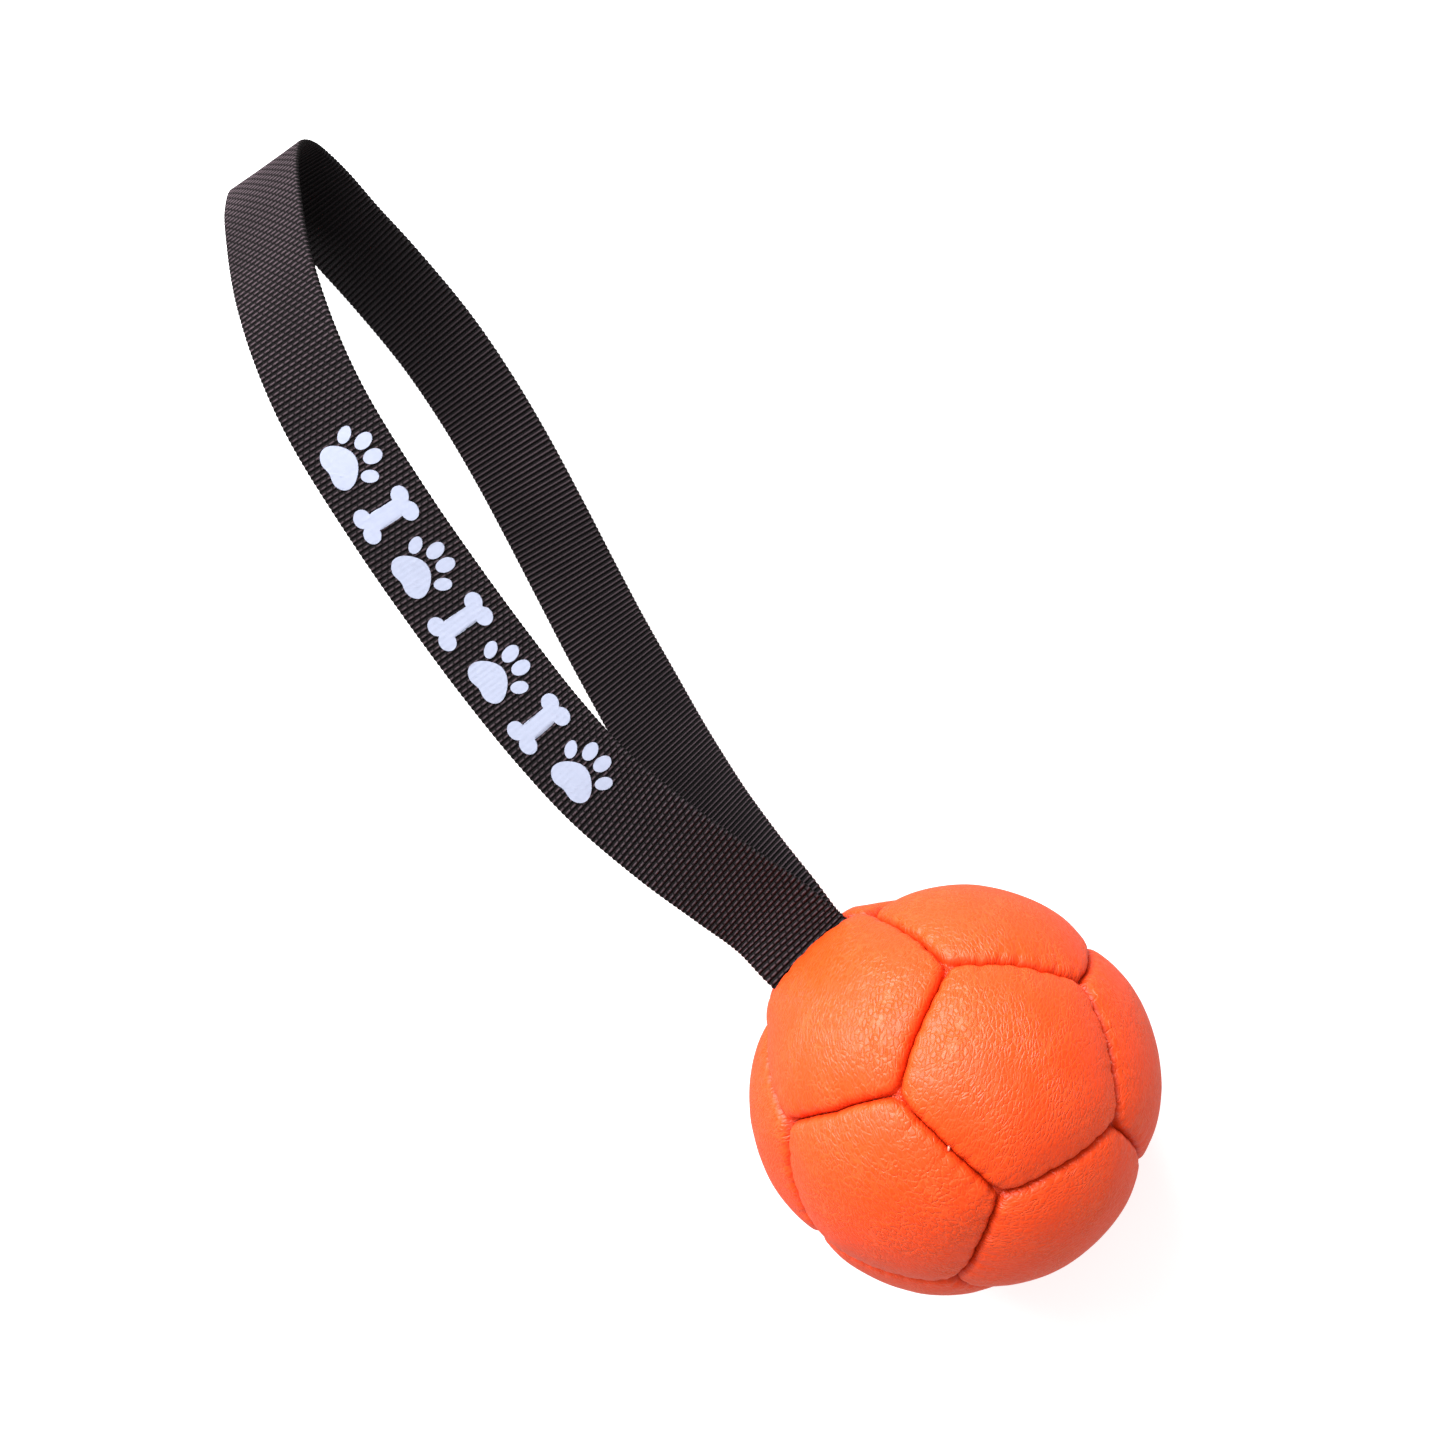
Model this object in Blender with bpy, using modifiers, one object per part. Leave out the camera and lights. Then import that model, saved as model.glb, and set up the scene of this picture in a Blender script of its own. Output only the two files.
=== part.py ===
"""A sewn training ball on a hand loop of webbing, lying on a flat surface with its loop on edge.

Twelve five-sided panels of coated leather are sewn edge to edge over a stuffed core. Each panel
ends in a seam allowance that is turned inwards, and a thread runs down every seam between the two
allowances. One length of webbing, folded into a loop, has its two tails laid together in one of
the seams, where stitches hold them between the panels.

Metres, +Z up. The origin is where the ball rests, and +X points from the ball to the loop's far end.
"""

from math import cos, radians, sin

import bmesh
import bpy
import numpy as np
from mathutils import Euler, Matrix, Vector

# The ball
SEAM_RADIUS = 0.0385  # from the ball's centre to the edge of a panel
CROWN = 0.0020  # rise of a panel's middle over its edges
HALF_PANEL = 0.5 * SEAM_RADIUS  # from a panel's edge to where its crown is full
CROWN_POWER = 2.5  # how fast the crown rises from the edge
BALL_TURN = Euler((radians(18.3), radians(-9.1), radians(34.7)))
BALL_CENTRE = Vector((0.0, 0.0, 0.0396))
LEATHER = 0.0012
SEAM_GAP = 0.0013  # between the two seam allowances of an ordinary seam
STRAP_SEAM_GAP = 0.0040  # between those that hold the two tails
ALLOWANCE = 0.0055  # depth to which a panel's edge is turned in
CLEAR = 0.0004
THREAD_DEPTH = 0.0018
THREAD_DIAMETER = 0.0006
THREAD_END = 0.0010  # a thread stops this far short of the corner where three seams meet
PANEL_FINENESS = 4  # subdivisions of the icosphere that a panel is cut from
FILLING_FINENESS = 3
LOBE_TAPER = 0.8  # of each step of a filling lobe towards the ball's centre

# The webbing
STRAP_WIDTH = 0.020
STRAP_THICKNESS = 0.0014
LAYER_OFFSET = 0.00085  # of each tail from the middle of the seam
TAIL = 0.0125  # length of each tail inside the seam
STITCHES = 4
STITCH_SPACING = 0.0044
STITCH_DIAMETER = 0.0008
STITCH_HOLE = 0.0014
STITCH_INSET = 0.0030  # from the ball's edge to the line of stitches
STITCH_GRIP = 0.0004  # how far a stitch stands out beyond the leather, each side
STRAP_COLUMNS = 3  # of points across the strap
STEPS = 3  # points of the strap's curve from one station to the next
HOLE_DEPTH = 0.020  # long enough to pass through both panels
STRAP_LEAVES = 0.0030  # how far the tails run straight out of the ball
RECESS = (2 * (TAIL + 0.0016), 0.0240, 0.0086)  # in the filling, round the tails

ORANGE = (0.87, 0.105, 0.035, 1.0)
THREAD_ORANGE = (0.62, 0.06, 0.02, 1.0)
BLACK = (0.018, 0.016, 0.018, 1.0)
FIBRE_WHITE = (0.80, 0.79, 0.76, 1.0)


def clear_scene():
    for obj in list(bpy.data.objects):
        bpy.data.objects.remove(obj, do_unlink=True)


def material(name, colour, roughness):
    made = bpy.data.materials.new(name)
    made.use_nodes = True
    shader = made.node_tree.nodes["Principled BSDF"]
    shader.inputs["Base Color"].default_value = colour
    shader.inputs["Roughness"].default_value = roughness
    return made


def collection(name):
    made = bpy.data.collections.new(name)
    bpy.context.scene.collection.children.link(made)
    return made


def add_mesh(name, bm, owner, finish=None):
    mesh = bpy.data.meshes.new(name)
    bm.to_mesh(mesh)
    bm.free()
    obj = bpy.data.objects.new(name, mesh)
    owner.objects.link(obj)
    if finish:
        mesh.materials.append(finish)
        mesh.shade_smooth()
        mesh.set_sharp_from_angle(angle=radians(40))
    return obj


def add_cutter(name, bm):
    cutter = add_mesh(name, bm, cutters)
    cutter.hide_render = True
    cutter.display_type = "WIRE"
    return cutter


def boolean(obj, cutter, operation="DIFFERENCE", solver="EXACT"):
    modifier = obj.modifiers.new(cutter.name, "BOOLEAN")
    modifier.operation = operation
    modifier.solver = solver
    modifier.object = cutter


# ---- The ball's panels lie round the twelve corners of an icosahedron.

def panel_directions():
    bm = bmesh.new()
    bmesh.ops.create_icosphere(bm, subdivisions=1, radius=1)
    turn = BALL_TURN.to_matrix()
    found = [turn @ vertex.co.normalized() for vertex in bm.verts]
    bm.free()
    # Counted from the top of the ball down
    return sorted(found, key=lambda out: -out.z)


def neighbours(i):
    """The five panels that share a seam with panel i."""
    return [j for j, out in enumerate(PANELS) if 0.3 < out.dot(PANELS[i]) < 0.6]


def seam_gap(i, j):
    return STRAP_SEAM_GAP if {i, j} == set(STRAP_SEAM) else SEAM_GAP


def seam_planes(i, inset):
    """(point, outward normal) of the planes that bound panel i, each moved inwards by inset."""
    planes = []
    for j in neighbours(i):
        out = (PANELS[j] - PANELS[i]).normalized()
        planes.append((-out * (seam_gap(i, j) / 2 + inset), out))
    return planes


def bisect(bm, point, normal, clear_outer=False):
    everything = bm.verts[:] + bm.edges[:] + bm.faces[:]
    bmesh.ops.bisect_plane(
        bm, geom=everything, dist=1e-6, plane_co=point, plane_no=normal, clear_outer=clear_outer
    )


def patch(i, inset, depth, fineness):
    """Panel i's crowned outer surface, its edges moved in by inset and its face down by depth."""
    bm = bmesh.new()
    turn = BALL_TURN.to_matrix().to_4x4()
    radius = SEAM_RADIUS - depth
    bmesh.ops.create_icosphere(bm, subdivisions=fineness, radius=radius, matrix=turn)
    planes = seam_planes(i, inset)
    for point, out in planes:
        bisect(bm, point, out, clear_outer=True)
    for vertex in bm.verts:
        to_seam = min((point - vertex.co).dot(out) for point, out in planes)
        inward = max(0.0, 1.0 - to_seam / HALF_PANEL)
        vertex.co += vertex.co.normalized() * CROWN * (1.0 - inward**CROWN_POWER)
    bmesh.ops.translate(bm, verts=bm.verts, vec=BALL_CENTRE)
    # The ball's weight presses it flat where it rests.
    bisect(bm, (0, 0, depth), (0, 0, 1))
    for vertex in bm.verts:
        vertex.co.z = max(vertex.co.z, depth)
    return bm


def extrude_rim(bm, scale):
    """Draws the open edge towards the ball's centre, and returns the new edge's points."""
    rim = [edge for edge in bm.edges if edge.is_boundary]
    made = bmesh.ops.extrude_edge_only(bm, edges=rim)["geom"]
    verts = [part for part in made if isinstance(part, bmesh.types.BMVert)]
    bmesh.ops.scale(bm, vec=(scale, scale, scale), space=Matrix.Translation(-BALL_CENTRE), verts=verts)
    return verts


def add_panel(i):
    bm = patch(i, 0.0, 0.0, PANEL_FINENESS)
    extrude_rim(bm, (SEAM_RADIUS - ALLOWANCE) / SEAM_RADIUS)
    bmesh.ops.recalc_face_normals(bm, faces=bm.faces)
    middle = max(bm.faces, key=lambda face: face.calc_center_median().dot(PANELS[i]))
    if middle.normal.dot(PANELS[i]) < 0:
        bmesh.ops.reverse_faces(bm, faces=bm.faces)
    panel = add_mesh(f"panel_{i + 1:02d}", bm, parts, leather)
    wall = panel.modifiers.new("wall", "SOLIDIFY")
    wall.thickness = LEATHER
    wall.offset = -1
    wall.use_even_offset = True
    if i in STRAP_SEAM:
        boolean(panel, stitch_holes)
    return panel


def add_filling():
    """The stuffing bulges into every panel, with grooves where the seam allowances hang in it."""
    core_radius = SEAM_RADIUS - ALLOWANCE - CLEAR
    lobes = bmesh.new()
    for i in range(len(PANELS)):
        bm = patch(i, LEATHER + CLEAR, LEATHER + CLEAR, FILLING_FINENESS)
        extrude_rim(bm, LOBE_TAPER)
        tip = BALL_CENTRE + PANELS[i] * core_radius / 2
        bmesh.ops.pointmerge(bm, verts=extrude_rim(bm, LOBE_TAPER), merge_co=tip)
        bmesh.ops.recalc_face_normals(bm, faces=bm.faces)
        lobe = bpy.data.meshes.new("lobe")
        bm.to_mesh(lobe)
        bm.free()
        lobes.from_mesh(lobe)
        bpy.data.meshes.remove(lobe)
    lobe_cutter = add_cutter("filling_lobes", lobes)
    core = bmesh.new()
    turn = Matrix.Translation(BALL_CENTRE) @ BALL_TURN.to_matrix().to_4x4()
    bmesh.ops.create_icosphere(
        core, subdivisions=FILLING_FINENESS, radius=core_radius, matrix=turn
    )
    filling = add_mesh("filling", core, parts, stuffing)
    boolean(filling, lobe_cutter, "UNION")
    recess = bmesh.new()
    bmesh.ops.create_cube(recess, size=1, matrix=seam_frame @ Matrix.Diagonal((*RECESS, 1.0)))
    # The exact solver leaves holes where the recess meets the grooves.
    boolean(filling, add_cutter("tail_recess", recess), solver="MANIFOLD")
    return filling


def arc(start, end, points):
    """Points along the great circle between two directions."""
    angle = start.angle(end)
    for k in range(points):
        t = k / (points - 1)
        yield (start * sin((1 - t) * angle) + end * sin(t * angle)) / sin(angle)


def seam_ends(i, j):
    """The two corners of the ball where the seam between panels i and j ends."""
    third = [k for k in neighbours(i) if k in neighbours(j)]
    return [(PANELS[i] + PANELS[j] + PANELS[k]).normalized() for k in third]


def add_thread(name, start, end, points=6):
    curve = bpy.data.curves.new(name, "CURVE")
    curve.dimensions = "3D"
    curve.bevel_depth = THREAD_DIAMETER / 2
    curve.bevel_resolution = 2
    curve.use_fill_caps = True
    spline = curve.splines.new("POLY")
    spline.points.add(points - 1)
    radius = SEAM_RADIUS - THREAD_DEPTH
    for point, out in zip(spline.points, arc(start, end, points)):
        point.co = (*(BALL_CENTRE + out * radius), 1.0)
    curve.materials.append(thread)
    obj = bpy.data.objects.new(name, curve)
    parts.objects.link(obj)
    return obj


def part_way(start, end, distance):
    """The direction this distance, along the ball, from start towards end."""
    share = distance / SEAM_RADIUS / start.angle(end)
    return start.slerp(end, share)


def add_seam_threads():
    for i in range(len(PANELS)):
        for j in neighbours(i):
            if j < i:
                continue
            start, end = seam_ends(i, j)
            name = f"seam_thread_{i + 1:02d}_{j + 1:02d}"
            first = part_way(start, end, THREAD_END)
            last = part_way(end, start, THREAD_END)
            if {i, j} != set(STRAP_SEAM):
                add_thread(name, first, last)
                continue
            # The tails fill the middle of their seam, so its thread is in two lengths.
            middle = (start + end).normalized()
            beside_strap = STRAP_WIDTH / 2 + THREAD_DIAMETER + 2 * CLEAR
            add_thread(name + "_left", first, part_way(middle, start, beside_strap), points=3)
            add_thread(name + "_right", last, part_way(middle, end, beside_strap), points=3)


# ---- The webbing loop. Each row is a point on its middle line, in millimetres, then the way its
# ---- width points there: the turn from -Y towards +X and the rise from the level, in degrees.

LOOP_ROUTE = (
    (47.0, 15.0, 43.6, 19, 19), (56.8, 19.6, 46.5, 22, 23), (69.1, 25.4, 49.0, 23, 26),
    (85.5, 31.7, 50.0, 22, 28), (100.3, 35.3, 50.0, 20, 28), (115.4, 37.8, 50.6, 16, 27),
    (132.0, 39.9, 52.2, 9, 27), (150.4, 41.6, 55.0, 3, 27), (172.7, 42.6, 56.8, 1, 27),
    (188.0, 41.6, 54.8, 0, 27), (202.7, 39.2, 48.8, 0, 27), (215.6, 35.7, 39.6, 0, 27),
    (223.0, 33.2, 32.0, 0, 27), (226.9, 30.8, 25.0, 0, 27), (226.2, 28.6, 17.6, 0, 27),
    (220.6, 26.3, 11.6, 0, 27), (211.0, 24.2, 8.4, 0, 27), (199.2, 21.4, 6.6, 0, 27),
    (183.2, 18.4, 5.4, 0, 27), (168.4, 17.0, 5.2, 0, 27), (154.0, 16.6, 5.2, 0, 27),
    (139.9, 16.8, 5.2, 0, 27), (125.9, 17.2, 5.6, 0, 27), (111.7, 17.5, 7.6, 0, 27),
    (97.4, 17.4, 11.8, 1, 27), (83.0, 17.2, 18.2, 3, 27), (69.0, 16.4, 26.4, 7, 25),
    (57.0, 14.9, 33.6, 12, 21), (46.6, 13.2, 38.6, 16, 17),
)


def way_of_width(turn, rise):
    return Vector((sin(turn) * cos(rise), -cos(turn) * cos(rise), sin(rise)))


def strap_stations():
    """(middle, width direction) down the whole strap, tail to tail, on one smooth curve."""
    out, across, up = (seam_frame.col[k].xyz for k in range(3))

    def tail(side, ends):
        """A tail's layer in the seam: 1 is the one next to the upper panel, -1 the lower."""
        start = seam_frame.translation + up * side * LAYER_OFFSET
        return [(start + out * along, -across) for along in ends]

    ends = (-TAIL, -TAIL / 2, 0.0, STRAP_LEAVES)
    loop = [
        (Vector((x, y, z)) / 1000, way_of_width(radians(turn), radians(rise)))
        for x, y, z, turn, rise in LOOP_ROUTE
    ]
    return tail(1, ends) + loop + tail(-1, ends[::-1])


def smooth(rows, steps):
    """Points of a Catmull-Rom curve through the rows, spaced by the distance between them."""
    places = np.array([[*middle, *width] for middle, width in rows])
    places = np.vstack((2 * places[0] - places[1], places, 2 * places[-1] - places[-2]))
    gaps = np.linalg.norm(np.diff(places[:, :3], axis=0), axis=1) ** 0.5
    knots = np.concatenate(([0.0], np.cumsum(gaps)))
    found = []
    for k in range(1, len(places) - 2):
        t0, t1, t2, t3 = knots[k - 1 : k + 3]
        p0, p1, p2, p3 = places[k - 1 : k + 3]
        last = k == len(places) - 3
        for t in np.linspace(t1, t2, steps + 1)[: steps + last]:
            a1 = (t1 - t) / (t1 - t0) * p0 + (t - t0) / (t1 - t0) * p1
            a2 = (t2 - t) / (t2 - t1) * p1 + (t - t1) / (t2 - t1) * p2
            a3 = (t3 - t) / (t3 - t2) * p2 + (t - t2) / (t3 - t2) * p3
            b1 = (t2 - t) / (t2 - t0) * a1 + (t - t0) / (t2 - t0) * a2
            b2 = (t3 - t) / (t3 - t1) * a2 + (t - t1) / (t3 - t1) * a3
            found.append((t2 - t) / (t2 - t1) * b1 + (t - t1) / (t2 - t1) * b2)
    return found


def add_strap():
    stations = smooth(strap_stations(), STEPS)
    bm = bmesh.new()
    last = len(stations) - 1
    bmesh.ops.create_grid(bm, x_segments=last, y_segments=STRAP_COLUMNS - 1, size=1)
    for vertex in bm.verts:
        station = stations[round((vertex.co.x + 1) / 2 * last)]
        width = Vector(station[3:]).normalized() * STRAP_WIDTH / 2
        vertex.co = Vector(station[:3]) + width * vertex.co.y
    strap = add_mesh("handle_strap", bm, parts, webbing)
    wall = strap.modifiers.new("wall", "SOLIDIFY")
    wall.thickness = STRAP_THICKNESS
    wall.offset = 0
    boolean(strap, stitch_holes)
    return strap


def rods(diameter, length):
    """Cylinders across the strap's seam, one at each stitch."""
    found = []
    for k in range(STITCHES):
        along = (k - (STITCHES - 1) / 2) * STITCH_SPACING
        place = seam_frame @ Matrix.Translation((-STITCH_INSET, along, 0.0))
        bm = bmesh.new()
        bmesh.ops.create_cone(
            bm, cap_ends=True, segments=8, radius1=diameter / 2, radius2=diameter / 2,
            depth=length, matrix=place,
        )
        found.append(bm)
    return found


def add_stitch_holes():
    holes = bmesh.new()
    for bm in rods(STITCH_HOLE, HOLE_DEPTH):
        rod = bpy.data.meshes.new("rod")
        bm.to_mesh(rod)
        bm.free()
        holes.from_mesh(rod)
        bpy.data.meshes.remove(rod)
    return add_cutter("stitch_holes", holes)


clear_scene()
parts = collection("training_ball")
cutters = collection("cutters")
leather = material("coated_leather", ORANGE, 0.45)
thread = material("sewing_thread", THREAD_ORANGE, 0.7)
webbing = material("black_webbing", BLACK, 0.75)
stuffing = material("fibre_stuffing", FIBRE_WHITE, 0.95)

PANELS = panel_directions()
# The strap's seam is the one whose middle points most nearly along +X.
STRAP_SEAM = max(
    ((i, j) for i in range(12) for j in neighbours(i) if i < j),
    key=lambda pair: (PANELS[pair[0]] + PANELS[pair[1]]).x,
)
seam_out = (PANELS[STRAP_SEAM[0]] + PANELS[STRAP_SEAM[1]]).normalized()
seam_up = (PANELS[STRAP_SEAM[0]] - PANELS[STRAP_SEAM[1]]).normalized()
seam_across = seam_up.cross(seam_out)
# Where the strap leaves the ball: X out of it, Y along the seam, Z from the lower panel to the upper.
seam_frame = Matrix((seam_out, seam_across, seam_up)).transposed().to_4x4()
seam_frame.translation = BALL_CENTRE + seam_out * SEAM_RADIUS

stitch_holes = add_stitch_holes()
for index in range(len(PANELS)):
    add_panel(index)
add_filling()
add_seam_threads()
add_strap()
stitch_length = STRAP_SEAM_GAP + 2 * (LEATHER + STITCH_GRIP)
for index, rod in enumerate(rods(STITCH_DIAMETER, stitch_length)):
    add_mesh(f"strap_stitch_{index + 1}", rod, parts, thread)
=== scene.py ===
"""A sewn leather training ball on a hand loop of black webbing, lying on a white table."""

from math import atan2, cos, pi, radians, sin

import bmesh
import bpy
import numpy as np
from mathutils import Euler, Matrix, Vector, noise


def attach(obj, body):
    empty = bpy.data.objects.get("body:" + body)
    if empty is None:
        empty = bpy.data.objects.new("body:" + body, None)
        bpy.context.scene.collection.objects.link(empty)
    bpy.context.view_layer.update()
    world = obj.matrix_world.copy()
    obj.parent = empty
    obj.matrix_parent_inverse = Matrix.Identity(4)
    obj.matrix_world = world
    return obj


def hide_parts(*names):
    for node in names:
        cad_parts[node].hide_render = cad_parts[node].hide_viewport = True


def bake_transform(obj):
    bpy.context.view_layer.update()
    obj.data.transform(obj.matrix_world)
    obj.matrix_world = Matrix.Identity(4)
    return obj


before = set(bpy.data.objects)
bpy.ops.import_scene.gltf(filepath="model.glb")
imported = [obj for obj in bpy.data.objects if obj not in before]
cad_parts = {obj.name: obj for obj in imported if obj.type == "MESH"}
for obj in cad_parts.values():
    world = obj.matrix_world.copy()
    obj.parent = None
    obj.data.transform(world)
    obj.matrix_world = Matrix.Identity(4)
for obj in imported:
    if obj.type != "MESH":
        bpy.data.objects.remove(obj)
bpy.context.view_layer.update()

# ---- The table ----
# A matt white table top, far larger than the ball and loop that lie on it. It only catches their
# soft shadow. It lies 0.2 mm below the ball, so that the two never share a surface.
TABLE_SIZE = 6
TABLE_MIDDLE = (0.1, 0, -0.0002)

bpy.ops.object.select_all(action="DESELECT")
bpy.ops.mesh.primitive_plane_add(size=TABLE_SIZE, location=TABLE_MIDDLE)
table = bpy.context.object
table.name = "table"
bpy.ops.object.transform_apply(location=True, rotation=True, scale=True)


def linear(hex_colour):
    """An sRGB hex colour as the linear colour that shaders work in."""
    parts = [int(hex_colour[i : i + 2], 16) / 255 for i in (1, 3, 5)]
    return [c / 12.92 if c < 0.04045 else ((c + 0.055) / 1.055) ** 2.4 for c in parts] + [1.0]


def material(name, colour, roughness, ior=1.5):
    """A plain material of this name and colour, and its shader."""
    made = bpy.data.materials.new(name)
    made.use_nodes = True
    shader = made.node_tree.nodes["Principled BSDF"]
    shader.inputs["Base Color"].default_value = linear(colour)
    shader.inputs["Roughness"].default_value = roughness
    shader.inputs["IOR"].default_value = ior
    return made, shader


# White laminate over a light box: an even white with no gloss, which softens the shadow.
table_white, table_shader = material("white_laminate", "#d4d4d4", 0.9)
table_shader.inputs["Emission Color"].default_value = linear("#ffffff")
table_shader.inputs["Emission Strength"].default_value = 0.62
table.data.materials.append(table_white)
table.visible_glossy = False  # keeps a pale rim off the ball's underside

# ---- The camera ----
# It looks straight down from 0.635 m over the ball's middle, aimed between the ball and the loop's
# far end, and turned so that the loop runs up and to the left of the ball.
BALL_CENTRE = Vector((0.0, 0.0, 0.0396))
VIEW_MIDDLE = Vector((0.0851, 0.0049, BALL_CENTRE.z))
VIEW_ROLL = radians(29)  # of the loop's long axis from straight up
CAMERA_HEIGHT = 0.635
VIEW_WIDTH = 0.2839  # of the level plane through the ball's middle

camera_data = bpy.data.cameras.new("camera")
camera = bpy.data.objects.new("camera", camera_data)
bpy.context.scene.collection.objects.link(camera)
camera.location = VIEW_MIDDLE + Vector((0, 0, CAMERA_HEIGHT))
camera.rotation_euler = (0, 0, -VIEW_ROLL - pi / 2)
camera_data.sensor_width = 36
camera_data.lens = camera_data.sensor_width * CAMERA_HEIGHT / VIEW_WIDTH
bpy.context.scene.camera = camera
bpy.context.scene.view_settings.view_transform = "Standard"

# ---- The light ----
# A white tent round the table, with one large soft lamp up on the loop's side of the ball and a weak
# one overhead, so that the ball shades from peach at its lit shoulder to deep orange below.
world = bpy.data.worlds.new("white_tent")
world.use_nodes = True
world.node_tree.nodes["Background"].inputs["Color"].default_value = linear("#ffffff")
world.node_tree.nodes["Background"].inputs["Strength"].default_value = 0.38
bpy.context.scene.world = world


def lamp(name, place, size, power):
    """Adds a square soft lamp that faces the ball."""
    data = bpy.data.lights.new(name, "AREA")
    data.size = size
    data.energy = power
    made = bpy.data.objects.new(name, data)
    bpy.context.scene.collection.objects.link(made)
    made.location = place
    made.rotation_euler = (BALL_CENTRE - made.location).to_track_quat("-Z", "Y").to_euler()


lamp("key_lamp", Vector((0.70, 0.16, 0.62)), 0.75, 22.0)
lamp("top_lamp", Vector((0.10, 0.00, 0.95)), 0.6, 2.2)

# ---- The leather panels ----
# Twelve five-sided pieces of coated leather, each cut with an allowance that is turned in and sewn
# to its neighbour's, then stuffed until it domes. The stitches pull the edges down into the ball,
# which leaves a tight groove along each seam with a small gather at each stitch. Lengths from here
# on are in millimetres, except where a line says metres.
SEAM_RADIUS = 38.5  # from the ball's middle to the spring of a panel's dome
CROWN = 2.0  # from there to the dome's top
DOME_FULLNESS = 2.5  # how steeply the dome rises from its edge
ROLL = 1.9  # how far from the seam the leather starts to turn down
SINK = 1.75  # how deep it has turned when it meets its neighbour
STRAP_SINK = 0.5  # the same where the strap fills the seam
STRAP_LIFT = 2.0  # by which the strap's thickness pushes the leather out beside it
STRAP_LIFT_REACH = 8.0  # away from the seam
LIFT_FADE = 9.0  # along the seam, past the strap's edge
GAP_FADE = 2.4  # the same for the gap that the strap's tails need
STRAP_CLEARANCE = 0.2  # past the strap's edge, before either fades
LEATHER = 1.2  # thickness
ALLOWANCE = 3.0  # how far the turned-in edge hangs below the roll
STITCH = 4.3  # from one stitch to the next
STITCH_STRAY = 0.4  # of a stitch along its seam, either way
STITCH_PULL = (0.5, 1.2)  # of the slackest stitch and the tightest, as shares of GATHER
WANDER = 0.28  # of the seam line at a stitch, either way
GATHER = 0.55  # depth of the dent at a stitch
GATHER_WIDTH = 0.8  # along the seam
GATHER_REACH = 1.7  # away from the seam
WRINKLE = 0.055  # height of the fine folds beside a seam
WRINKLE_REACH = 2.2  # away from the seam
CORNER_SHARPNESS = 1.1  # of the leather where two seams meet
STUFFING_LUMPS = ((0.10, 9, 0), (0.05, 3.5, 20))  # height, width and first seed of each kind
GRAIN_TURN = 2.4  # radians, from one panel's grain to the next one's
MEETING_GAP = 0.05  # from each panel's edge to the middle of its seam
STRAP_HALF_GAP = 1.6  # the same where the two tails of the strap come out
STRAP_HALF_WIDTH = 10.0
COLUMNS = 72  # of faces along each side of a panel
BALL_TURN = Euler((radians(18.3), radians(-9.1), radians(34.7))).to_matrix()


def panel_directions():
    """The twelve corners of an icosahedron, from the top of the ball down."""
    bm = bmesh.new()
    bmesh.ops.create_icosphere(bm, subdivisions=1, radius=1)
    found = [BALL_TURN @ vertex.co.normalized() for vertex in bm.verts]
    bm.free()
    return sorted(found, key=lambda out: -out.z)


PANELS = panel_directions()


def neighbours(i):
    """The five panels sewn to panel i."""
    return [j for j, out in enumerate(PANELS) if 0.3 < out.dot(PANELS[i]) < 0.6]


def seam_ends(i, j):
    """The two corners of the seam between panels i and j, always in the same order."""
    third = sorted(k for k in neighbours(i) if k in neighbours(j))
    return [(PANELS[i] + PANELS[j] + PANELS[k]).normalized() for k in third]


SEAM_PAIRS = [(i, j) for i in range(12) for j in neighbours(i) if i < j]
STRAP_SEAM = max(SEAM_PAIRS, key=lambda pair: (PANELS[pair[0]] + PANELS[pair[1]]).x)


class Seam:
    """A seam's plane and line, and how its stitches gather the leather and make it wander."""

    def __init__(self, i, j):
        start, end = seam_ends(i, j)
        self.pair = (i, j)
        self.across = np.array((PANELS[j] - PANELS[i]).normalized())
        self.middle = np.array((start + end).normalized())
        self.along = np.array((end - start).normalized())
        self.length = start.angle(end) * SEAM_RADIUS
        count = round(self.length / STITCH)
        draw = np.random.default_rng(100 * i + j)
        evenly = (np.arange(count) + 0.5) / count - 0.5
        self.stitches = evenly * self.length + draw.uniform(-STITCH_STRAY, STITCH_STRAY, count)
        self.pull = draw.uniform(*STITCH_PULL, count)
        self.wander = draw.uniform(-WANDER, WANDER, count)

    def place(self, dirs):
        """Millimetres along the seam from its middle, for an array of directions."""
        return np.arctan2(dirs @ self.along, dirs @ self.middle) * SEAM_RADIUS

    def stray(self, s):
        """How far the seam line strays sideways at place s, as its stitches pull it."""
        ends = [-self.length / 2, *self.stitches, self.length / 2]
        return np.interp(s, ends, [0, *self.wander, 0])

    def gather(self, s):
        """Near 1 at a stitch and 0 between stitches."""
        near = np.exp(-(((s[..., None] - self.stitches) / GATHER_WIDTH) ** 2)) * self.pull
        return near.max(axis=-1)

    def half_gap(self, s):
        """From the seam's middle to the leather, which stands off round the strap's two tails."""
        if self.pair != STRAP_SEAM:
            return np.full_like(s, MEETING_GAP)
        return MEETING_GAP + (STRAP_HALF_GAP - MEETING_GAP) * self.strap_share(s)

    def strap_share(self, s, fade=GAP_FADE):
        """1 where the strap's tails fill the seam, fading to 0 beyond them."""
        if self.pair != STRAP_SEAM:
            return np.zeros_like(s)
        beyond = np.clip((np.abs(s) - STRAP_HALF_WIDTH - STRAP_CLEARANCE) / fade, 0, 1)
        return 1 - beyond**2 * (3 - 2 * beyond)


SEAMS = {pair: Seam(*pair) for pair in SEAM_PAIRS}


def unit(rows):
    """The rows of an array, each scaled to length 1."""
    return rows / np.linalg.norm(rows, axis=1)[:, None]


def lumps(points, size, seed):
    """Smooth noise from -1 to 1 at points in millimetres, with lumps of about this size."""
    moved = points / size + np.array((17.3, 5.1, 9.7)) * seed
    return np.array([noise.noise(point) for point in moved.tolist()])


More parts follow.
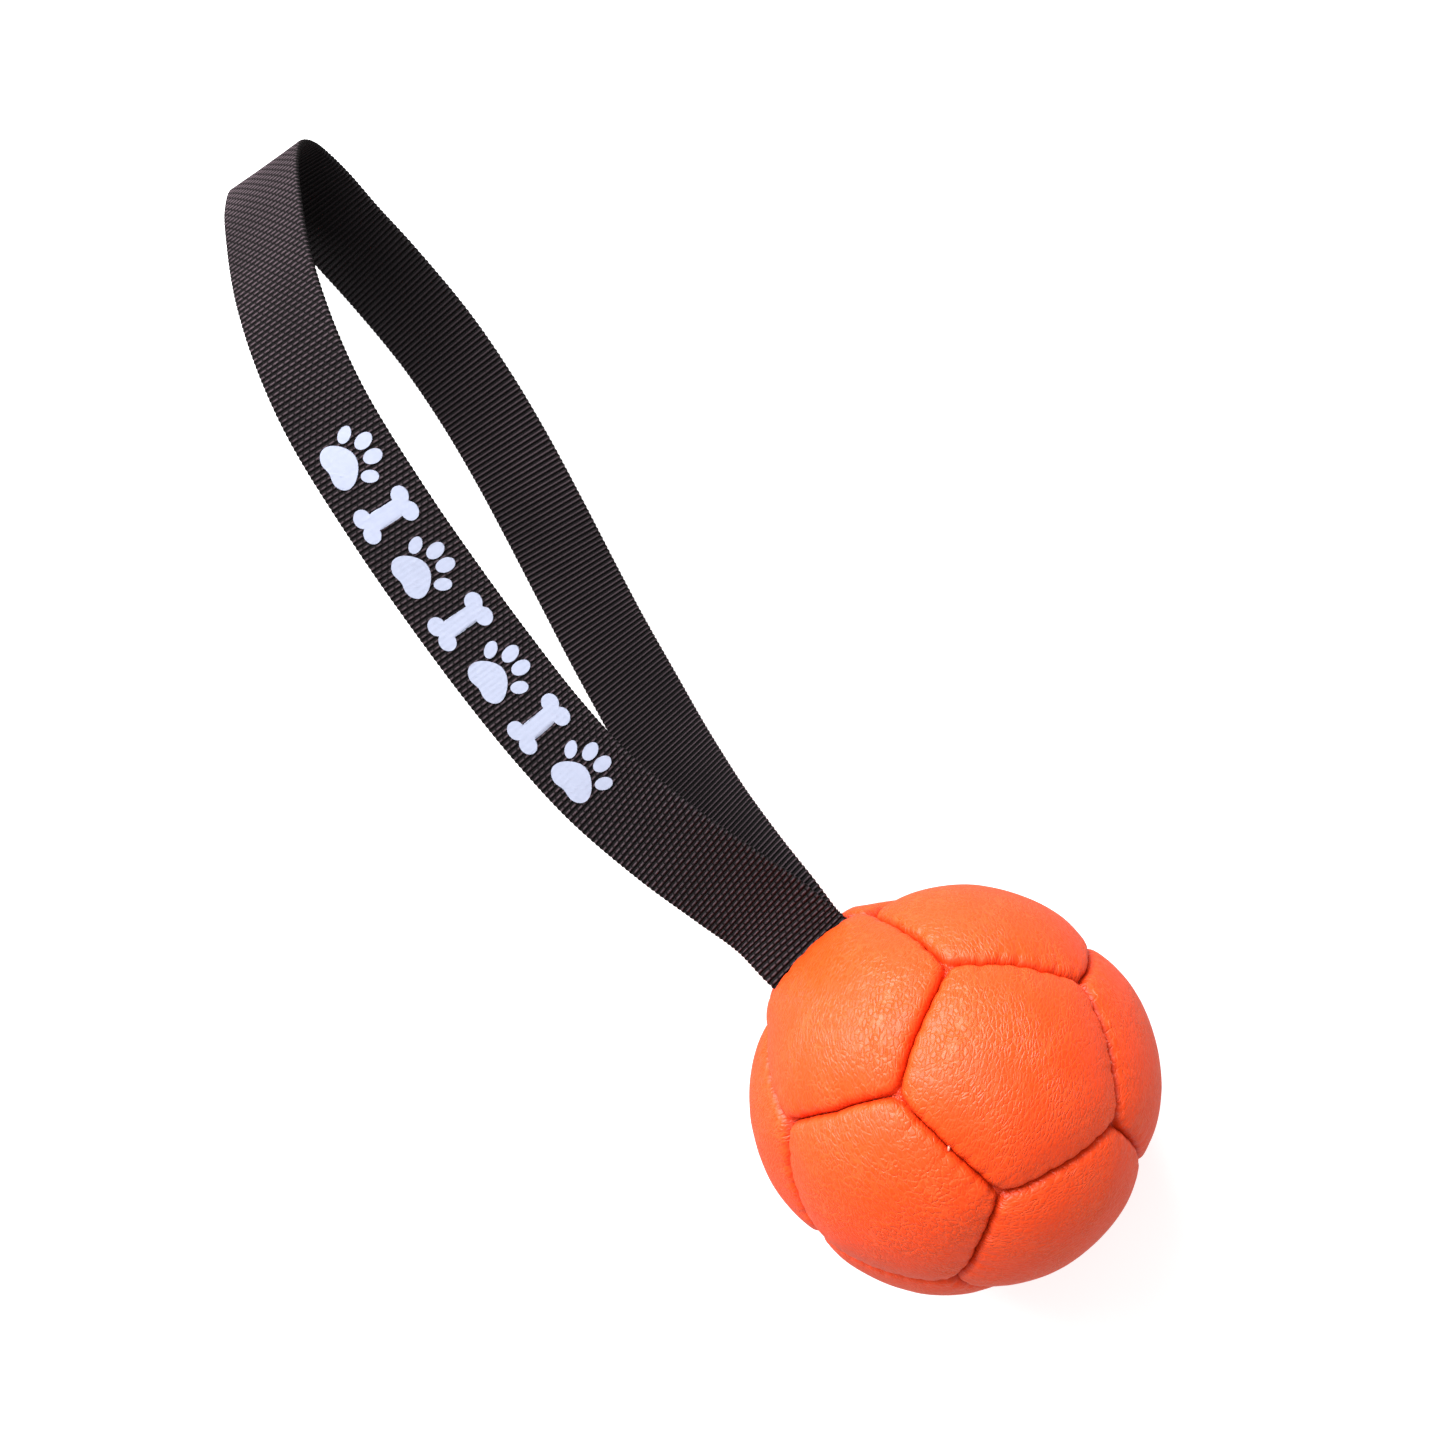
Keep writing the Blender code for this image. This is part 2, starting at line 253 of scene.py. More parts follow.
def leather_depth(i, dirs):
    """For directions on panel i: the distance to its nearest seam, and the surface's radius."""
    to_seam, dents, folds, held_up, lifted = [], 0.0, 0.0, 0.0, 0.0
    for j in neighbours(i):
        seam = SEAMS[min(i, j), max(i, j)]
        side = 1 if i < j else -1
        s = seam.place(dirs)
        away = side * seam.stray(s) - seam.half_gap(s) - side * (dirs @ seam.across) * SEAM_RADIUS
        near = np.clip(away, 0, None)
        dents = dents + GATHER * seam.gather(s) * np.exp(-near / GATHER_REACH)
        # Waves about 1.2 mm long, unevenly spaced and different on each panel.
        wave = np.sin(s * 5.1 + 2.0 * np.sin(s * 1.9 + i) + 3.0 * i)
        folds = folds + WRINKLE * wave * np.exp(-near / WRINKLE_REACH)
        reach = np.exp(-((near / STRAP_LIFT_REACH) ** 2))
        held_up = held_up + seam.strap_share(s) * reach
        lifted = lifted + seam.strap_share(s, LIFT_FADE) * reach
        to_seam.append(away)
    away = -np.log(sum(np.exp(-CORNER_SHARPNESS * a) for a in to_seam)) / CORNER_SHARPNESS
    away = np.clip(away, 0, None)
    dome = CROWN * (1 - (1 - np.clip(away / (SEAM_RADIUS / 2), 0, 1)) ** DOME_FULLNESS)
    turned = np.clip(1 - away / ROLL, 0, 1)
    sink = SINK + (STRAP_SINK - SINK) * held_up
    roll = sink * (1 - np.sqrt(1 - turned**2))
    return away, SEAM_RADIUS + dome + STRAP_LIFT * lifted - roll - dents + folds


def edge_directions(i):
    """The direction of each column's end, on the seams round panel i."""
    out = PANELS[i]
    right = out.orthogonal().normalized()
    up = out.cross(right)
    around = sorted(neighbours(i), key=lambda n: atan2(PANELS[n].dot(up), PANELS[n].dot(right)))
    found = []
    for k, j in enumerate(around):
        start = out + PANELS[j] + PANELS[around[k - 1]]
        end = out + PANELS[j] + PANELS[around[(k + 1) % 5]]
        start, end = start.normalized(), end.normalized()
        seam = SEAMS[min(i, j), max(i, j)]
        side = 1 if i < j else -1
        share = (np.arange(COLUMNS) / COLUMNS)[:, None]
        line = unit((1 - share) * np.array(start) + share * np.array(end))
        s = seam.place(line)
        shift = (seam.stray(s) - side * seam.half_gap(s)) / SEAM_RADIUS
        found.append(line + shift[:, None] * seam.across)
    return unit(np.concatenate(found))


# One sphere is the start of every panel: its rings become the rows down a panel's radius, out over
# the dome, down the turned-in allowance and back inside the leather. Each row has its share of the
# way from the panel's middle to its edge, or down the allowance. The dome's rows crowd at the edge.
dome_rows = [(1 - (1 - t) ** 1.8, "dome") for t in np.linspace(0, 1, 46)]
turned_rows = [(depth, "turned in") for depth in (0.35, 0.7, 1.0)]
inner_rows = [(share, "inside") for share in np.linspace(0.92, 0.0, 12)]
panel_rows = dome_rows + turned_rows + inner_rows
bpy.ops.object.select_all(action="DESELECT")
bpy.ops.mesh.primitive_uv_sphere_add(
    segments=5 * COLUMNS, ring_count=len(panel_rows) - 1, radius=1
)
blank = bpy.context.object
blank.name = "blank_panel"
bpy.ops.object.shade_smooth()
ball_points = np.array([vertex.co for vertex in blank.data.vertices])
polar = np.arccos(np.clip(ball_points[:, 2], -1, 1))
azimuth = np.arctan2(ball_points[:, 1], ball_points[:, 0])
ring = np.rint(polar / pi * (len(panel_rows) - 1)).astype(int)
column = np.rint(azimuth / (2 * pi) * 5 * COLUMNS).astype(int) % (5 * COLUMNS)
row_share, row_kind = (np.array(part)[ring] for part in zip(*panel_rows))
corner = np.empty(len(blank.data.loops), int)
blank.data.loops.foreach_get("vertex_index", corner)


def panel_mesh(i):
    """A copy of the blank panel, shaped as panel i and laid in its place on the ball."""
    panel = blank.copy()
    panel.data = blank.data.copy()
    bpy.context.scene.collection.objects.link(panel)
    panel.name = panel.data.name = f"leather_panel_{i + 1:02d}"
    out = np.array(PANELS[i])
    edge = edge_directions(i)[column]
    share = np.where(row_kind == "turned in", 1.0, row_share)[:, None]
    angle = np.arccos(np.clip(edge @ out, -1, 1))[:, None]
    dirs = (np.sin((1 - share) * angle) * out + np.sin(share * angle) * edge) / np.sin(angle)
    away, radius = leather_depth(i, dirs)
    for height, width, first_seed in STUFFING_LUMPS:
        radius = radius + height * lumps(dirs * SEAM_RADIUS, width, i + first_seed)
    radius = radius - np.where(row_kind == "inside", LEATHER, 0)
    radius = radius - np.where(row_kind == "turned in", row_share * ALLOWANCE, 0)
    place = dirs * radius[:, None] / 1000 + np.array(BALL_CENTRE)
    # The ball is pressed flat where it rests on the table.
    lowest = np.where(row_kind == "inside", LEATHER / 1000, 0)
    place[:, 2] = np.maximum(place[:, 2], lowest)
    panel.data.vertices.foreach_set("co", place.ravel())
    # The grain lies its own way on each panel, so each has a flat map of its own, in millimetres.
    right = np.array(PANELS[i].orthogonal().normalized())
    turn = GRAIN_TURN * i
    flat = dirs * SEAM_RADIUS
    x, y = flat @ right, flat @ np.cross(out, right)
    grain_map = np.stack((x * cos(turn) - y * sin(turn), x * sin(turn) + y * cos(turn)), axis=1)
    panel.data.uv_layers[0].data.foreach_set("uv", grain_map[corner].ravel())
    from_seam = panel.data.attributes.new("from_seam", "FLOAT", "POINT")
    from_seam.data.foreach_set("value", np.where(row_kind == "dome", away, 0).astype(np.float32))
    panel.data.update()
    return panel


def add_node(owner, kind, settings=(), links=()):
    """Adds a node to a material, sets its properties and sockets, and links sockets from others."""
    node = owner.node_tree.nodes.new("ShaderNode" + kind)
    for name, value in dict(settings).items():
        if isinstance(name, int) or name in node.inputs:
            node.inputs[name].default_value = value
        else:
            setattr(node, name, value)
    for name, source in dict(links).items():
        owner.node_tree.links.new(source, node.inputs[name])
    return node


# Polyurethane-coated leather, embossed with a pebble grain: dull red-orange leather under a satin
# coating, so that the slopes beside the seams catch a soft pale sheen.
leather, leather_shader = material("polyurethane_coated_leather", "#f74a0b", 0.48)
leather_shader.inputs["Specular IOR Level"].default_value = 0.06
leather_shader.inputs["Coat Weight"].default_value = 0.5
leather_shader.inputs["Coat Roughness"].default_value = 0.4
leather_shader.inputs["Coat IOR"].default_value = 1.55
chart = add_node(leather, "UVMap", {"uv_map": "UVMap"}).outputs["UV"]  # in millimetres
# The pebbles are about 1 mm across and drawn out one way, as the coating is stretched.
drawn_out = add_node(leather, "Mapping", {"Scale": (1.0, 0.5, 1.0)}, {"Vector": chart}).outputs[0]
swirl = add_node(leather, "TexNoise", {"Scale": 0.45, "Detail": 2.0}, {"Vector": drawn_out})
bent = add_node(
    leather, "VectorMath", {"operation": "MULTIPLY_ADD", 1: (0.9, 0.9, 0.0)},
    {0: swirl.outputs["Color"], 2: drawn_out},
)
pebbles = add_node(
    leather, "TexVoronoi", {"feature": "DISTANCE_TO_EDGE", "Scale": 1.4},
    {"Vector": bent.outputs["Vector"]},
)
crease = add_node(
    leather, "MapRange", {"From Max": 0.2, "To Min": 0.0, "To Max": 1.0},
    {"Value": pebbles.outputs["Distance"]},
)
fine = add_node(leather, "TexNoise", {"Scale": 2.6, "Detail": 3.0}, {"Vector": chart})
patchy = add_node(leather, "TexNoise", {"Scale": 0.11, "Detail": 3.0}, {"Vector": chart})
# The grain is deep in some places and nearly ironed flat in others.
depth = add_node(
    leather, "MapRange", {"From Min": 0.38, "From Max": 0.62, "To Min": 0.4, "To Max": 1.0},
    {"Value": patchy.outputs["Fac"]},
)
embossed = add_node(
    leather, "Math", {"operation": "MULTIPLY"},
    {0: crease.outputs["Result"], 1: depth.outputs["Result"]},
)
grain = add_node(
    leather, "Math", {"operation": "MULTIPLY_ADD", 1: 0.35},
    {0: fine.outputs["Fac"], 2: embossed.outputs["Value"]},
)
bump = add_node(
    leather, "Bump", {"Strength": 1.0, "Distance": 0.00013}, {"Height": grain.outputs["Value"]}
)
leather.node_tree.links.new(bump.outputs["Normal"], leather_shader.inputs["Normal"])
leather.node_tree.links.new(bump.outputs["Normal"], leather_shader.inputs["Coat Normal"])
tint = add_node(
    leather, "MixRGB", {"Color1": linear("#f24109"), "Color2": linear("#fb4c0e")},
    {"Fac": patchy.outputs["Fac"]},
)
# Painted highlight: the colour is paler along the creases, standing in for their lit edges.
crease_highlight_ramp = add_node(
    leather, "MapRange", {"To Min": 0.2, "To Max": 0.0}, {"Value": crease.outputs["Result"]}
)
crease_highlight = add_node(
    leather, "Math", {"operation": "MULTIPLY"},
    {0: crease_highlight_ramp.outputs["Result"], 1: depth.outputs["Result"]},
)
with_crease_highlight = add_node(
    leather, "MixRGB", {"Color2": linear("#ff7a45")},
    {"Fac": crease_highlight.outputs["Value"], "Color1": tint.outputs["Color"]},
)
# Painted shade: the colour darkens to deep red within 1 mm of each seam, where the leather folds in
# and the groove lies in shadow.
from_seam = add_node(leather, "Attribute", {"attribute_name": "from_seam"}).outputs["Fac"]
groove_shade = add_node(
    leather, "MapRange", {"From Max": 1.0, "To Min": 0.62, "To Max": 0.0}, {"Value": from_seam}
)
groove_shaded = add_node(
    leather, "MixRGB", {"Color2": linear("#ac2006")},
    {"Fac": groove_shade.outputs["Result"], "Color1": with_crease_highlight.outputs["Color"]},
)
leather.node_tree.links.new(groove_shaded.outputs["Color"], leather_shader.inputs["Base Color"])
gloss = add_node(
    leather, "MapRange", {"To Min": 0.42, "To Max": 0.54}, {"Value": crease.outputs["Result"]}
)
leather.node_tree.links.new(gloss.outputs["Result"], leather_shader.inputs["Roughness"])

for i in range(12):
    panel = panel_mesh(i)
    panel.data.materials.append(leather)
    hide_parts(f"panel_{i + 1:02d}")
    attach(panel, "ball")

bpy.data.objects.remove(blank)

# ---- The filling ----
# Combed polyester fibre, packed hard: it swells into every panel and is creased where the seam
# allowances hang in it. The strap's two tails lie in a slot in it.
FILLING_RADIUS = 32.6  # under the seams, clear of the turned-in allowances
SWELL = 3.2  # further out under the middle of a panel
SWELL_START = 1.6  # away from the seam
SWELL_WIDTH = 6  # from there to the full swell
FIBRE_LUMP = 4.0  # width of the filling's own lumps
FIBRE_RISE = 0.25  # their height
FIBRE_SEED = 50
FILLING_LOWEST = 0.0016  # metres above the table, clear of the leather under it
TAIL_SLOT = (0.0290, 0.0220, 0.0062)  # metres: through the ball's face, along the seam, across it

# Where the strap leaves the ball: X out of it, Y along the seam, Z from the lower panel to the upper.
upper_panel, lower_panel = (PANELS[k] for k in STRAP_SEAM)
exit_way = (upper_panel + lower_panel).normalized()
exit_up = (upper_panel - lower_panel).normalized()
exit_frame = Matrix((exit_way, exit_up.cross(exit_way), exit_up)).transposed().to_4x4()
exit_frame.translation = BALL_CENTRE + exit_way * SEAM_RADIUS / 1000

bpy.ops.object.select_all(action="DESELECT")
bpy.ops.mesh.primitive_ico_sphere_add(subdivisions=6, radius=1)
filling = bpy.context.object
filling.name = "fibre_filling"
bpy.ops.object.shade_smooth()
fibre_dirs = np.array([vertex.co.normalized() for vertex in filling.data.vertices])
nearest = np.argmax(fibre_dirs @ np.array(PANELS).T, axis=1)
from_seams = np.zeros(len(fibre_dirs))
for i in range(12):
    mine = nearest == i
    from_seams[mine] = leather_depth(i, fibre_dirs[mine])[0]
swell = SWELL * (1 - (1 - np.clip((from_seams - SWELL_START) / SWELL_WIDTH, 0, 1)) ** 2)
fibre_lumps = FIBRE_RISE * lumps(fibre_dirs * SEAM_RADIUS, FIBRE_LUMP, FIBRE_SEED)
fibre_radius = FILLING_RADIUS + swell + fibre_lumps
fibre_place = fibre_dirs * fibre_radius[:, None] / 1000 + np.array(BALL_CENTRE)
fibre_place[:, 2] = np.maximum(fibre_place[:, 2], FILLING_LOWEST)
filling.data.vertices.foreach_set("co", fibre_place.ravel())
bpy.ops.mesh.primitive_cube_add(size=1)
tail_slot = bpy.context.object
tail_slot.data.transform(exit_frame @ Matrix.Diagonal((*TAIL_SLOT, 1.0)))
cut = filling.modifiers.new("tail_slot", "BOOLEAN")
cut.operation = "DIFFERENCE"
cut.solver = "MANIFOLD"
cut.object = tail_slot
bpy.context.view_layer.objects.active = filling
bpy.ops.object.modifier_apply(modifier=cut.name)
bpy.data.objects.remove(tail_slot)

# Polyester fibre: off-white, dull and tangled, with strands about 0.3 mm apart drawn as coarse as
# they would show.
fibre, fibre_shader = material("polyester_fibre", "#dcd9d0", 0.95, 1.54)
in_fibre = add_node(fibre, "TexCoord").outputs["Object"]
strands = add_node(
    fibre, "TexNoise", {"Scale": 900.0, "Detail": 4.0, "Distortion": 1.5}, {"Vector": in_fibre}
)
tangle = add_node(
    fibre, "Bump", {"Strength": 0.8, "Distance": 0.0002}, {"Height": strands.outputs["Fac"]}
)
fibre.node_tree.links.new(tangle.outputs["Normal"], fibre_shader.inputs["Normal"])
filling.data.materials.append(fibre)
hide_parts("filling")
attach(filling, "ball")

# ---- The seam threads ----
# Bonded polyester thread, 0.5 mm thick, laced to and fro between the two turned-in allowances of
# each seam. It is drawn in below the leather, and shows only where a stitch has stayed slack.
THREAD = 0.5
THREAD_RADIUS = 35.9  # from the ball's middle
STITCH_REACH = 1.0  # into the leather on each side of the seam
SLACK = {(0, 1): (0.5,), (0, 5): (0.42, 0.52, 0.6)}  # by pair of panels: shares of the seam's length
SLACK_DEPTH = 0.9  # of the thread below SEAM_RADIUS there
SLACK_REACH = 0.55  # along the seam
SHORT_OF_CORNER = 1.2  # of each thread's ends
BESIDE_STRAP = 0.8  # from the strap's edge to the threads on either side
THREAD_SIDES = 6


def thread_mesh(name, line):
    """A round thread along a line of points in metres, closed at both ends."""
    ahead = unit(np.gradient(line, axis=0))
    side = unit(np.cross(ahead, unit(line - np.array(BALL_CENTRE))))
    out = np.cross(side, ahead)
    bpy.ops.object.select_all(action="DESELECT")
    bpy.ops.mesh.primitive_cylinder_add(vertices=THREAD_SIDES, radius=1, depth=2)
    made = bpy.context.object
    made.name = made.data.name = name
    bm = bmesh.new()
    bm.from_mesh(made.data)
    lengthwise = [edge for edge in bm.edges if abs(edge.verts[0].co.z - edge.verts[1].co.z) > 1]
    bmesh.ops.subdivide_edges(bm, edges=lengthwise, cuts=len(line) - 2, use_grid_fill=True)
    for vertex in bm.verts:
        k = round((vertex.co.z + 1) / 2 * (len(line) - 1))
        x, y = vertex.co.x, vertex.co.y
        vertex.co = Vector(line[k] + (side[k] * x + out[k] * y) * THREAD / 2000)
    bmesh.ops.recalc_face_normals(bm, faces=bm.faces)
    bm.to_mesh(made.data)
    bm.free()
    bpy.ops.object.shade_smooth()
    return made


def thread_line(seam, first, last):
    """The laced thread from place first to place last along a seam, in metres."""
    turns = max(2, round((last - first) / (STITCH / 2)))
    s = np.linspace(first, last, 10 * turns + 1)
    side = STITCH_REACH * np.sin((s - first) / (last - first) * turns * pi)
    radius = np.full_like(s, THREAD_RADIUS)
    for share in SLACK.get(seam.pair, ()):
        place = (share - 0.5) * seam.length
        stands = SEAM_RADIUS - SLACK_DEPTH - THREAD_RADIUS
        radius += stands * np.exp(-(((s - place) / SLACK_REACH) ** 2))
    angle = s / SEAM_RADIUS
    dirs = np.cos(angle)[:, None] * seam.middle + np.sin(angle)[:, None] * seam.along
    offset = (side + seam.stray(s))[:, None] * seam.across
    return (dirs * radius[:, None] + offset) / 1000 + np.array(BALL_CENTRE)


# Sewing thread: polyester filament twisted from strands about 0.2 mm apart, with a slight lustre.
thread, thread_shader = material("bonded_polyester_thread", "#f6b9a2", 0.5, 1.54)
in_thread = add_node(thread, "TexCoord").outputs["Object"]
twist = add_node(thread, "TexNoise", {"Scale": 2500.0, "Detail": 2.0}, {"Vector": in_thread})
ply = add_node(
    thread, "Bump", {"Strength": 0.6, "Distance": 0.00008}, {"Height": twist.outputs["Fac"]}
)
thread.node_tree.links.new(ply.outputs["Normal"], thread_shader.inputs["Normal"])
shade = add_node(
    thread, "MixRGB", {"Color1": linear("#e86a48"), "Color2": linear("#f3b7a4")},
    {"Fac": twist.outputs["Fac"]},
)
thread.node_tree.links.new(shade.outputs["Color"], thread_shader.inputs["Base Color"])

for seam in SEAMS.values():
    half = seam.length / 2 - SHORT_OF_CORNER
    beside_strap = STRAP_HALF_WIDTH + BESIDE_STRAP
    runs = {"": (-half, half)}
    if seam.pair == STRAP_SEAM:
        runs = {"_left": (-half, -beside_strap), "_right": (beside_strap, half)}
    for end, (first, last) in runs.items():
        name = f"seam_thread_{seam.pair[0] + 1:02d}_{seam.pair[1] + 1:02d}{end}"
        laced = thread_mesh("laced_" + name, thread_line(seam, first, last))
        laced.data.materials.append(thread)
        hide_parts(name)
        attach(laced, "ball")
for k in range(1, 5):
    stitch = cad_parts[f"strap_stitch_{k}"]
    stitch.data.materials.clear()
    stitch.data.materials.append(thread)

# ---- The hand loop ----
# One length of black nylon webbing, 20 mm wide and 1.4 mm thick, woven in ribs across its width
# with a corded edge. Both tails are laid together in one seam and sewn there, and the loop between
# them lies on its lower edge, leaning back.
STRAP_WIDTH = 20.0
STRAP_THICKNESS = 1.4
STRAP_LENGTH = 444.5
RIB = 1.06  # from one rib to the next
ROWS_PER_RIB = 4
# Where the points lie across one face, from edge to edge: closer together where it turns over.
TURNING_OVER = np.array((1.0, 0.988, 0.96, 0.91))
ACROSS_PLACES = np.concatenate((TURNING_OVER, np.linspace(0.82, -0.82, 17), -TURNING_OVER[::-1]))
ACROSS = len(ACROSS_PLACES) - 1
RIB_RISE = 0.16
EDGE_CORD = 0.05  # width of the rounded edge, as a share of half the strap's width
EDGE_ROUNDING = 0.9  # how thin the very edge gets, from 0 to 1
SCALLOP = 0.012  # of the edge at each rib, as the same share
SCALLOP_FROM = 0.97  # of the way from the middle to the edge
TAIL = 12.5  # sewn into the ball at each end
LAYER_OFFSET = 0.85  # of each tail from the seam's middle
STRAP_LEAVES = 3.0  # how far out of the seam both tails run straight
# A point of the middle line in millimetres, then the way the width points there: the turn from -Y
# towards +X and the rise from the level, in degrees.
LOOP_ROUTE = (
    (47.0, 15.0, 43.6, 19, 19), (56.8, 19.6, 46.5, 22, 23), (69.1, 25.4, 49.0, 23, 26),
    (85.5, 31.7, 50.0, 22, 28), (100.3, 35.3, 50.0, 20, 28), (115.4, 37.8, 50.6, 16, 27),
    (132.0, 39.9, 52.2, 9, 27), (150.4, 41.6, 55.0, 3, 27), (172.7, 42.6, 56.8, 1, 27),
    (188.0, 41.6, 54.8, 0, 27), (202.7, 39.2, 48.8, 0, 27), (215.6, 35.7, 39.6, 0, 27),
    (223.0, 33.2, 32.0, 0, 27), (226.9, 30.8, 25.0, 0, 27), (226.2, 28.6, 17.6, 0, 27),
    (220.6, 26.3, 11.6, 0, 27), (211.0, 24.2, 8.4, 0, 27), (199.2, 21.4, 6.6, 0, 27),
    (183.2, 18.4, 5.4, 0, 27), (168.4, 17.0, 5.2, 0, 27), (154.0, 16.6, 5.2, 0, 27),
    (139.9, 16.8, 5.2, 0, 27), (125.9, 17.2, 5.6, 0, 27), (111.7, 17.5, 7.6, 0, 27),
    (97.4, 17.4, 11.8, 1, 27), (83.0, 17.2, 18.2, 3, 27), (69.0, 16.4, 26.4, 7, 25),
    (57.0, 14.9, 33.6, 12, 21), (46.6, 13.2, 38.6, 16, 17),
)


def tail_stations(side, ends):
    """(middle, width direction) down one tail in the seam: side 1 is the upper layer."""
    out, across, up = (np.array(exit_frame.col[k].xyz) for k in range(3))
    start = np.array(exit_frame.translation) * 1000 + up * side * LAYER_OFFSET
    return [[*(start + out * along), *(-across)] for along in ends]


def loop_stations():
    """(middle, width direction) at each point of the loop's route."""
    for x, y, z, turn, rise in LOOP_ROUTE:
        turn, rise = radians(turn), radians(rise)
        yield [x, y, z, sin(turn) * cos(rise), -cos(turn) * cos(rise), sin(rise)]


def smooth_line(rows, count):
    """Evenly spaced points of the smooth curve through rows, and its length."""
    rows = np.vstack((2 * rows[0] - rows[1], rows, 2 * rows[-1] - rows[-2]))
    gaps = np.linalg.norm(np.diff(rows[:, :3], axis=0), axis=1) ** 0.5
    knots = np.concatenate(([0.0], np.cumsum(gaps)))
    found = []
    for k in range(1, len(rows) - 2):
        # A centripetal Catmull-Rom curve from p1 to p2.
        t0, t1, t2, t3 = knots[k - 1 : k + 3]
        p0, p1, p2, p3 = rows[k - 1 : k + 3]
        for t in np.linspace(t1, t2, 40, endpoint=k == len(rows) - 3):
            a1 = (t1 - t) / (t1 - t0) * p0 + (t - t0) / (t1 - t0) * p1
            a2 = (t2 - t) / (t2 - t1) * p1 + (t - t1) / (t2 - t1) * p2
            a3 = (t3 - t) / (t3 - t2) * p2 + (t - t2) / (t3 - t2) * p3
            b1 = (t2 - t) / (t2 - t0) * a1 + (t - t0) / (t2 - t0) * a2
            b2 = (t3 - t) / (t3 - t1) * a2 + (t - t1) / (t3 - t1) * a3
            found.append((t2 - t) / (t2 - t1) * b1 + (t - t1) / (t2 - t1) * b2)
    found = np.array(found)
    steps = np.linalg.norm(np.diff(found[:, :3], axis=0), axis=1)
    along = np.concatenate(([0.0], np.cumsum(steps)))
    wanted = np.linspace(0, along[-1], count)
    even = [np.interp(wanted, along, values) for values in found.T]
    return np.stack(even, axis=1), along[-1]


tail_ends = np.array((-TAIL, -TAIL / 2, 0.0, STRAP_LEAVES))
stations = [
    *tail_stations(1, tail_ends), *loop_stations(), *tail_stations(-1, tail_ends[::-1]),
]
rib_count = round(STRAP_LENGTH / RIB)
strap_rows = rib_count * ROWS_PER_RIB + 1
strap_line, strap_length = smooth_line(np.array(stations), strap_rows)
middle = strap_line[:, :3]
ahead = unit(np.gradient(middle, axis=0))
lengthwise_part = (strap_line[:, 3:] * ahead).sum(axis=1)[:, None] * ahead
width_way = unit(strap_line[:, 3:] - lengthwise_part)
face_way = np.cross(width_way, ahead)  # towards the outside of the loop


def strap_point(row, v, rise):
    """Points at rows down the strap, v from -1 to 1 across it, and this far off its middle layer."""
    low = np.clip(np.floor(row).astype(int), 0, strap_rows - 2)
    share = (row - low)[..., None]

    def read(table):
        return (1 - share) * table[low] + share * table[low + 1]

    sideways = read(width_way) * (v * STRAP_WIDTH / 2)[..., None]
    return read(middle) + sideways + read(face_way) * rise[..., None]


def rib_rise(row, v):
    """How far the strap's face stands off its middle layer, with its ribs and rounded edges."""
    rib = 0.5 - 0.5 * np.cos(2 * pi * row / ROWS_PER_RIB)
    body = STRAP_THICKNESS / 2 - RIB_RISE * (1 - rib)
    edge = np.clip((1 - np.abs(v)) / EDGE_CORD, 0, 1)
    return body * np.sqrt(1 - (1 - edge) ** 2 * EDGE_ROUNDING)


bpy.ops.object.select_all(action="DESELECT")
bpy.ops.mesh.primitive_cylinder_add(vertices=2 * ACROSS, radius=1, depth=2)
strap = bpy.context.object
strap.name = strap.data.name = "webbing_strap"
bm = bmesh.new()
bm.from_mesh(strap.data)
lengthwise = [edge for edge in bm.edges if abs(edge.verts[0].co.z - edge.verts[1].co.z) > 1]
bmesh.ops.subdivide_edges(bm, edges=lengthwise, cuts=strap_rows - 2, use_grid_fill=True)
bm.to_mesh(strap.data)
bm.free()
tube = np.array([vertex.co for vertex in strap.data.vertices])
strap_row = np.rint((tube[:, 2] + 1) / 2 * (strap_rows - 1))
step = np.rint(np.arctan2(tube[:, 1], tube[:, 0]) / pi * ACROSS).astype(int)  # round the section
strap_v = ACROSS_PLACES[np.abs(step)]
on_edge = (np.abs(step) == 0) | (np.abs(step) == ACROSS)
face = np.sign(step) * ~on_edge  # 1 on the outer face, -1 on the inner, 0 on an edge
rib_wave = np.cos(2 * pi * strap_row / ROWS_PER_RIB)
scallop = SCALLOP * rib_wave * (np.abs(strap_v) > SCALLOP_FROM)
face_rise = face * rib_rise(strap_row, strap_v)
strap_place = strap_point(strap_row, strap_v + np.sign(strap_v) * scallop, face_rise) / 1000
strap.data.vertices.foreach_set("co", strap_place.ravel())
# The weave's own map: millimetres down the strap and across it, the same on both faces.
down_strap = strap_row / (strap_rows - 1) * strap_length
weave_map = np.stack((down_strap, strap_v * STRAP_WIDTH / 2), axis=1)
strap_corner = np.empty(len(strap.data.loops), int)
strap.data.loops.foreach_get("vertex_index", strap_corner)
strap.data.uv_layers[0].data.foreach_set("uv", weave_map[strap_corner].ravel())
inner_face = strap.data.attributes.new("inner_face", "FLOAT", "POINT")
inner_face.data.foreach_set("value", (face < 0).astype(np.float32))
strap.data.update()
bm = bmesh.new()
bm.from_mesh(strap.data)
bmesh.ops.recalc_face_normals(bm, faces=bm.faces)
bm.to_mesh(strap.data)
bm.free()
bpy.ops.object.shade_smooth()

# Nylon 6.6 webbing: dull black filament. Yarns float over the ribs as dashes laid like bricks, and
# their crowns are painted a brownish grey highlight.
DASH = 1.7  # from one dash to the next, across the strap
INNER_FILL = 0.85  # of the dips between dashes on the inner face, where they run together
INNER_SHADE_PLACES = (262.0, 302.0)  # down the strap: between these the painted shade on the inner face lightens
nylon, nylon_shader = material("woven_nylon_webbing", "#1c181b", 0.62, 1.53)
nylon_shader.inputs["Specular IOR Level"].default_value = 0.12
nylon_shader.inputs["Sheen Weight"].default_value = 0.015
nylon_shader.inputs["Sheen Roughness"].default_value = 0.5
nylon_shader.inputs["Sheen Tint"].default_value = linear("#b9a9a6")
weave = add_node(nylon, "UVMap", {"uv_map": "UVMap"}).outputs["UV"]
axes = add_node(nylon, "SeparateXYZ", (), {"Vector": weave})


